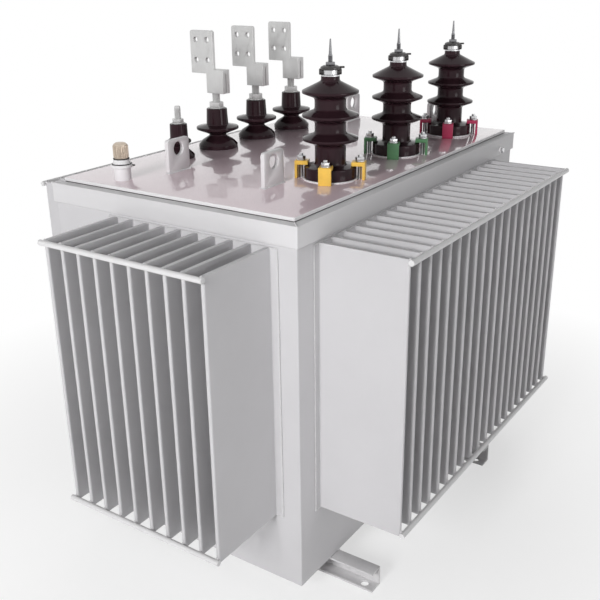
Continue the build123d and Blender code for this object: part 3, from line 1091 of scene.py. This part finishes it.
@dataclass(frozen=True)
class HighVoltageBushing:
    """A tall porcelain bushing with its claws, cap and pointed stud."""

    phase: Phase
    foot_radius: float = 58.0
    foot_height: float = 28.0
    foot_round: float = 3.0
    end_round: float = 1.5
    core_radius: float = 34.0
    shoulder_rise: float = 4.0
    shoulder_round: float = 6.0
    shed_radius: float = 61.0
    shed_levels: tuple[float, ...] = (88.0, 138.0, 188.0)
    shed_fall: float = 13.0
    shed_rim: float = 5.0
    shed_root_round: float = 8.0
    shed_rim_round: float = 2.0
    neck_radius: float = 20.0
    neck_height: float = 9.0
    ring_radius: float = 61.5
    ring_height: float = 3.0
    ring_round: float = 0.8
    claw_edge: float = 1.2

    def build(self) -> None:
        """Make the porcelain on its foot ring, the claws and their bolts, the cap and the stud."""
        letter = self.phase.letter
        node = f"hv_bushing_{letter}"
        seat = Seat.of(node)
        body = self.outline(seat.height)
        turned(f"hv_porcelain_{letter}", GLAZE, body, seat.foot, node, segments=PORCELAIN_SEGMENTS)
        ring = band(self.ring_radius, 0, self.ring_height, self.ring_round, self.core_radius)
        turned(f"hv_foot_ring_{letter}", PALE_GREY_AND_PAINTED_LIGHT, ring, seat.foot, segments=PORCELAIN_SEGMENTS)
        soften(f"hv_clamps_{letter}", f"hv_claws_{letter}", self.phase.paint, self.claw_edge)
        ClawBolts().build(self.phase, seat.foot)
        HighVoltageCap().build(self.phase)
        HighVoltagePoint().build(self.phase, seat.foot)

    def outline(self, height: float) -> list[Corner]:
        """List the corners of the glazed body with its three sheds.

        Args:
            height: the body's height.

        Returns:
            The corners, from the lid up.
        """
        core, shed, half_rim = self.core_radius, self.shed_radius, self.shed_rim / 2
        corners = [
            Corner(0, 0),
            Corner(self.foot_radius, 0, self.end_round),
            Corner(self.foot_radius, self.foot_height, self.foot_round),
            Corner(core, self.foot_height + self.shoulder_rise, self.shoulder_round),
        ]
        for level in self.shed_levels:
            corners += [
                Corner(core, level - self.shed_fall, self.shed_root_round),
                Corner(shed, level - half_rim, self.shed_rim_round),
                Corner(shed, level + half_rim, self.shed_rim_round),
                Corner(core, level + self.shed_fall, self.shed_root_round),
            ]
        corners[-1] = Corner(self.neck_radius, height - self.neck_height, self.shoulder_round)
        return corners + [Corner(self.neck_radius, height, self.end_round), Corner(0, height)]


@dataclass(frozen=True)
class TerminalStud:
    """A tinned stud with a washer and a nut."""

    thread: Thread
    nut_flats: float
    nut_top: float
    washer_radius: float
    washer_height: float = 3.0
    washer_round: float = 0.8
    thread_stop: float = 2.0
    end_taper: float = 2.0
    nut_edge: float = 1.4

    def build(self, name: str, node: str) -> None:
        """Stand the stud where a CAD node stands.

        Args:
            name: the piece's name.
            node: the CAD node that it replaces.
        """
        seat = Seat.of(node)
        tall, radius, washer = seat.height, self.thread.radius, self.washer_radius
        form = Form()
        form.lathe(
            [
                Corner(0, 0),
                Corner(washer, 0, self.washer_round),
                Corner(washer, self.washer_height, self.washer_round),
                Corner(radius, self.washer_height),
                *self.thread.corners(self.nut_top, tall - self.thread_stop),
                Corner(radius - self.end_taper, tall),
                Corner(0, tall),
            ],
            seat.foot, STUD_SEGMENTS,
        )
        nut_height = self.nut_top - self.washer_height
        form.hexagon(above(seat.foot, self.washer_height), self.nut_flats, nut_height, self.nut_edge)
        form.show(name, TIN, node)


@dataclass(frozen=True)
class LowVoltageBushing:
    """A squat porcelain bushing with its nut, stud and flag terminal."""

    phase: Phase
    outline: tuple[Corner, ...] = (
        Corner(0, 0), Corner(50, 0, 1.5), Corner(50, 9, 3), Corner(40, 20, 12), Corner(22, 31, 7),
        Corner(22, 35, 5), Corner(54, 48, 2), Corner(54, 54, 2.5), Corner(28, 59, 3), Corner(26, 100, 2.5),
        Corner(0, 100),
    )
    stud: TerminalStud = TerminalStud(
        Thread(10.0, 2.0, 0.9), nut_flats=31.0, nut_top=16.0, washer_radius=20.0
    )
    flag_edge: float = 1.0

    def build(self) -> None:
        """Make the porcelain, the stud and the flag."""
        letter = self.phase.letter
        node = f"lv_bushing_{letter}"
        foot = Seat.of(node).foot
        turned(f"lv_porcelain_{letter}", GLAZE, self.outline, foot, node, segments=PORCELAIN_SEGMENTS)
        self.stud.build(f"lv_stud_and_nut_{letter}", f"lv_stud_{letter}")
        soften(f"lv_flag_{letter}", f"lv_flag_terminal_{letter}", TIN, self.flag_edge)


@dataclass(frozen=True)
class NeutralBushing:
    """The small bushing at the end of the low-voltage row."""

    outline: tuple[Corner, ...] = (
        Corner(0, 0), Corner(36, 0, 1.5), Corner(36, 7, 3), Corner(28, 16, 9), Corner(16, 27, 6),
        Corner(16, 29, 4), Corner(29, 38, 2), Corner(29, 43, 2), Corner(22, 48, 3), Corner(21, 83, 2),
        Corner(0, 83),
    )
    stud: TerminalStud = TerminalStud(Thread(8.0, 2.0, 0.9), nut_flats=24.0, nut_top=12.0, washer_radius=15.0)

    def build(self) -> None:
        """Make the porcelain and the stud."""
        node = "neutral_bushing"
        foot = Seat.of(node).foot
        turned("neutral_porcelain", GLAZE, self.outline, foot, node, segments=PORCELAIN_SEGMENTS)
        self.stud.build("neutral_stud_and_nut", "neutral_stud")


@dataclass(frozen=True)
class OilFiller:
    """The oil filler: a pipe with a flange, two seals and a screw, and a ribbed screw cap."""

    pipe: tuple[Fit, ...] = (
        Fit(5.0, 0), Fit(5.0, 1, -20.0, 1.5), Fit(0, 1, -20.0, 1.0), Fit(0, 1, -13.0, 1.0),
        Fit(3.0, 1, -13.0), Fit(3.0, 1, -11.0), Fit(4.0, 1, -11.0, 0.8), Fit(7.0, 1, -2.0, 0.8),
    )
    lower_seal: tuple[Fit, ...] = (Fit(2.2, 1, -13.0, 0.4), Fit(2.2, 1, -11.0, 0.4))
    upper_seal: tuple[Fit, ...] = (Fit(6.0, 1, -2.0, 0.4), Fit(6.0, 1, 0, 0.4))
    screw_heading_deg: float = -55.6
    screw_drop: float = 16.5
    screw_radius: float = 1.9
    screw_inset: float = 2.0
    screw_length: float = 7.0
    screw_edge: float = 0.5
    screw_segments: int = 16
    screw_cap: tuple[Fit, ...] = (Fit(1.3, 0, 0, 0.8), Fit(1.3, 1, -4.0, 3.0), Fit(6.3, 1, 0, 3.0))
    ribs: int = 28
    rib_radius: float = 1.3
    rib_start: float = 2.0
    rib_stop: float = 6.0
    rib_round: float = 0.8
    rib_segments: int = 10

    def build(self) -> None:
        """Make the neck and the cap on it."""
        self.neck()
        self.cap()

    def neck(self) -> None:
        """Make the pipe with its flange, the seals and the screw."""
        seat = Seat.of("filler_neck")
        turned("filler_pipe", PALE_GREY_AND_PAINTED_LIGHT, seat.fit(self.pipe), seat.foot, "filler_neck")
        seals = Form()
        for dark_band in (self.lower_seal, self.upper_seal):
            seals.lathe(seat.fit(dark_band), seat.foot)
        screw = circle(self.screw_radius * MM, self.screw_segments)
        way = sideways(self.screw_heading_deg) @ above(ORIGIN, seat.radius - self.screw_inset)
        place = above(seat.foot, seat.height - self.screw_drop) @ way
        seals.prism(screw, place, self.screw_length * MM, self.screw_edge * MM)
        seals.show("filler_seals_and_screw", DARK_SEAL_AND_SHADOW)

    def cap(self) -> None:
        """Make the screw cap and the ribs round it."""
        seat = Seat.of("filler_cap")
        turned("filler_screw_cap", BRASS, seat.fit(self.screw_cap), seat.foot, "filler_cap")
        rib = Form()
        section = band(self.rib_radius, self.rib_start, seat.height - self.rib_stop, self.rib_round)
        rib.lathe(section, segments=self.rib_segments)
        ring_pattern().grow(
            "filler_cap_ribs", BRASS, rib.mesh("rib"), Count=self.ribs,
            Radius=(seat.radius - self.rib_radius) * MM, Middle=seat.foot, Turn=0.0, Seed=0,
        )


@dataclass(frozen=True)
class LiftingLugs:
    """The four lifting lugs, welded to the lid."""

    edge: float = 1.5
    bead: WeldBead = WeldBead(radius=3.0)
    row_digits: int = 4

    def build(self) -> None:
        """Make both pairs and the welds at their feet."""
        for end in ("left", "right"):
            node = f"{end}_lugs"
            soften(node, f"{end}_lifting_lugs", PALE_GREY_AND_PAINTED_LIGHT, self.edge)
            low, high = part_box(node)
            rows = sorted({round(v.co.y, self.row_digits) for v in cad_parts[node].data.vertices})
            runs = [
                rectangle(Vector((low.x, near, 0)), Vector((high.x, far, 0)), low.z)
                for near, far in (rows[:2], rows[-2:])
            ]
            self.bead.lay(f"{end}_lug_welds", runs, seed=41)


@dataclass(frozen=True)
class Skids:
    """The two skid channels, welded under the tank."""

    edge: float = 1.4
    bead: WeldBead = WeldBead()

    def build(self) -> None:
        """Make both channels and the welds along their top flanges."""
        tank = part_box("tank_floor")
        for end in ("left", "right"):
            node = f"{end}_skid"
            soften(node, f"{end}_skid_channel", SKID_PAINT, self.edge)
            low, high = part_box(node)
            runs = [[Vector((x, corner.y, high.z)) for corner in tank] for x in (low.x, high.x)]
            self.bead.lay(f"{end}_skid_welds", runs, seed=51)


def seen_directly(graph: Graph) -> Socket:
    """Return a socket that is one for the camera's own rays and for rays off gloss or through glass."""
    rays = graph.node("ShaderNodeLightPath").outputs
    mirrored = graph.combine("MAXIMUM", rays["Is Glossy Ray"], rays["Is Transmission Ray"])
    return graph.combine("MAXIMUM", rays["Is Camera Ray"], mirrored)


@dataclass(frozen=True)
class Lamp:
    """A large soft square lamp."""

    name: str
    place: tuple[float, float, float]
    size: float
    power: float
    mirrored: bool

    def hang(self, target: Vector) -> None:
        """Hang the lamp so that it faces a target point."""
        data = bpy.data.lights.new(self.name, "AREA")
        data.shape, data.size, data.energy = "SQUARE", self.size, self.power
        light = bpy.data.objects.new(self.name, data)
        light.location = self.place
        light.rotation_euler = (target - Vector(self.place)).to_track_quat("-Z", "Y").to_euler()
        light.visible_glossy = self.mirrored
        bpy.context.scene.collection.objects.link(light)


@dataclass(frozen=True)
class Studio:
    """A pale floor, soft light and the camera."""

    place: tuple[float, float, float] = (-1.809325, -1.206496, 1.338038)
    heading_deg: float = 34.375
    dip_deg: float = 21.459
    roll_deg: float = -0.778
    lens: float = 51.942
    sensor: float = 36.0
    aim_height: float = 0.6
    floor_size: float = 60.0
    floor_colour: Colour = (0.95, 0.95, 0.95)
    floor_roughness: float = 0.9
    floor_specular: float = 0.1
    near_white: float = 0.6
    fade_start: float = 0.55
    fade_end: float = 1.5
    horizon_strength: float = 0.22
    zenith_strength: float = 0.05
    lamps: tuple[Lamp, ...] = (
        Lamp("key", (-5.55, -0.7, 2.65), 1.6, 246.0, mirrored=False),
        Lamp("front", (-0.6, -6.0, 1.4), 2.4, 72.0, mirrored=True),
        Lamp("back", (4.6, 3.4, 2.2), 3.4, 175.0, mirrored=False),
    )

    def build(self) -> None:
        """Set the camera, the floor, the sky and the lamps."""
        bpy.context.scene.view_settings.view_transform = "Standard"
        self.camera()
        self.floor()
        self.sky()
        for lamp in self.lamps:
            lamp.hang(Vector((0, 0, self.aim_height)))

    def camera(self) -> None:
        """Stand the camera at the photograph's viewing angle."""
        heading, dip, roll = (math.radians(a) for a in (self.heading_deg, self.dip_deg, self.roll_deg))
        level = Vector((math.cos(heading), math.sin(heading), 0))
        ahead = level * math.cos(dip) - Vector((0, 0, math.sin(dip)))
        right = Vector((math.sin(heading), -math.cos(heading), 0))
        up = right.cross(ahead)
        axes = (
            right * math.cos(roll) + up * math.sin(roll), up * math.cos(roll) - right * math.sin(roll), -ahead
        )
        data = bpy.data.cameras.new("camera")
        data.lens, data.sensor_width = self.lens, self.sensor
        camera = bpy.data.objects.new("camera", data)
        camera.matrix_world = Matrix.Translation(self.place) @ Matrix(axes).transposed().to_4x4()
        bpy.context.scene.collection.objects.link(camera)
        bpy.context.scene.camera = camera

    def floor(self) -> None:
        """Lay the pale floor, which keeps the shadow and fades to white with distance."""
        half = self.floor_size / 2
        mesh = bpy.data.meshes.new("floor")
        mesh.from_pydata([(sx * half, sy * half, 0) for sx, sy in RECTANGLE_WAYS], [], [(0, 1, 2, 3)])
        material, graph, shader = blank_material("floor")
        graph.feed(shader, {
            "Base Color": (*self.floor_colour, 1.0),
            "Roughness": self.floor_roughness,
            "Specular IOR Level": self.floor_specular,
        })
        place = graph.out("ShaderNodeTexCoord", pick="Object")
        away = graph.out("ShaderNodeVectorMath", {0: place}, pick="Value", operation="LENGTH")
        reach = {"From Min": self.fade_start, "From Max": self.fade_end, "To Min": self.near_white}
        fade = graph.out("ShaderNodeMapRange", {"Value": away, **reach})
        share = graph.combine("MULTIPLY", seen_directly(graph), fade)
        white = graph.out("ShaderNodeEmission", {"Color": WHITE, "Strength": 1.0})
        mixed = graph.out("ShaderNodeMixShader", {0: share, 1: shader.outputs[0], 2: white})
        graph.feed(material.node_tree.nodes["Material Output"], {"Surface": mixed})
        mesh.materials.append(material)
        floor = bpy.data.objects.new("floor", mesh)
        bpy.context.scene.collection.objects.link(floor)

    def sky(self) -> None:
        """Light the scene from the horizon more than from above, with a white sky for the camera."""
        world = bpy.data.worlds.new("sky")
        world.use_nodes = True
        bpy.context.scene.world = world
        graph = Graph(world.node_tree)
        way = graph.out("ShaderNodeTexCoord", pick="Generated")
        height = graph.out("ShaderNodeSeparateXYZ", {0: way}, pick="Z")
        strengths = {"To Min": self.horizon_strength, "To Max": self.zenith_strength}
        glow = graph.out("ShaderNodeMapRange", {"Value": height, **strengths})
        strength = graph.out("ShaderNodeMix", {0: seen_directly(graph), 2: glow, 3: 1.0})
        graph.feed(world.node_tree.nodes["Background"], {"Color": WHITE, "Strength": strength})


def main() -> None:
    """Build every sub-assembly."""
    logging.basicConfig(level=logging.INFO, format="%(name)s: %(message)s")
    assemblies = [
        Studio(), Tank(), EarthStuds(), *map(FinPanel, Side), *map(HighVoltageBushing, Phase),
        *map(LowVoltageBushing, Phase), NeutralBushing(), OilFiller(), LiftingLugs(), Skids(),
    ]
    for assembly in assemblies:
        assembly.build()


if __name__ == "__main__":
    main()
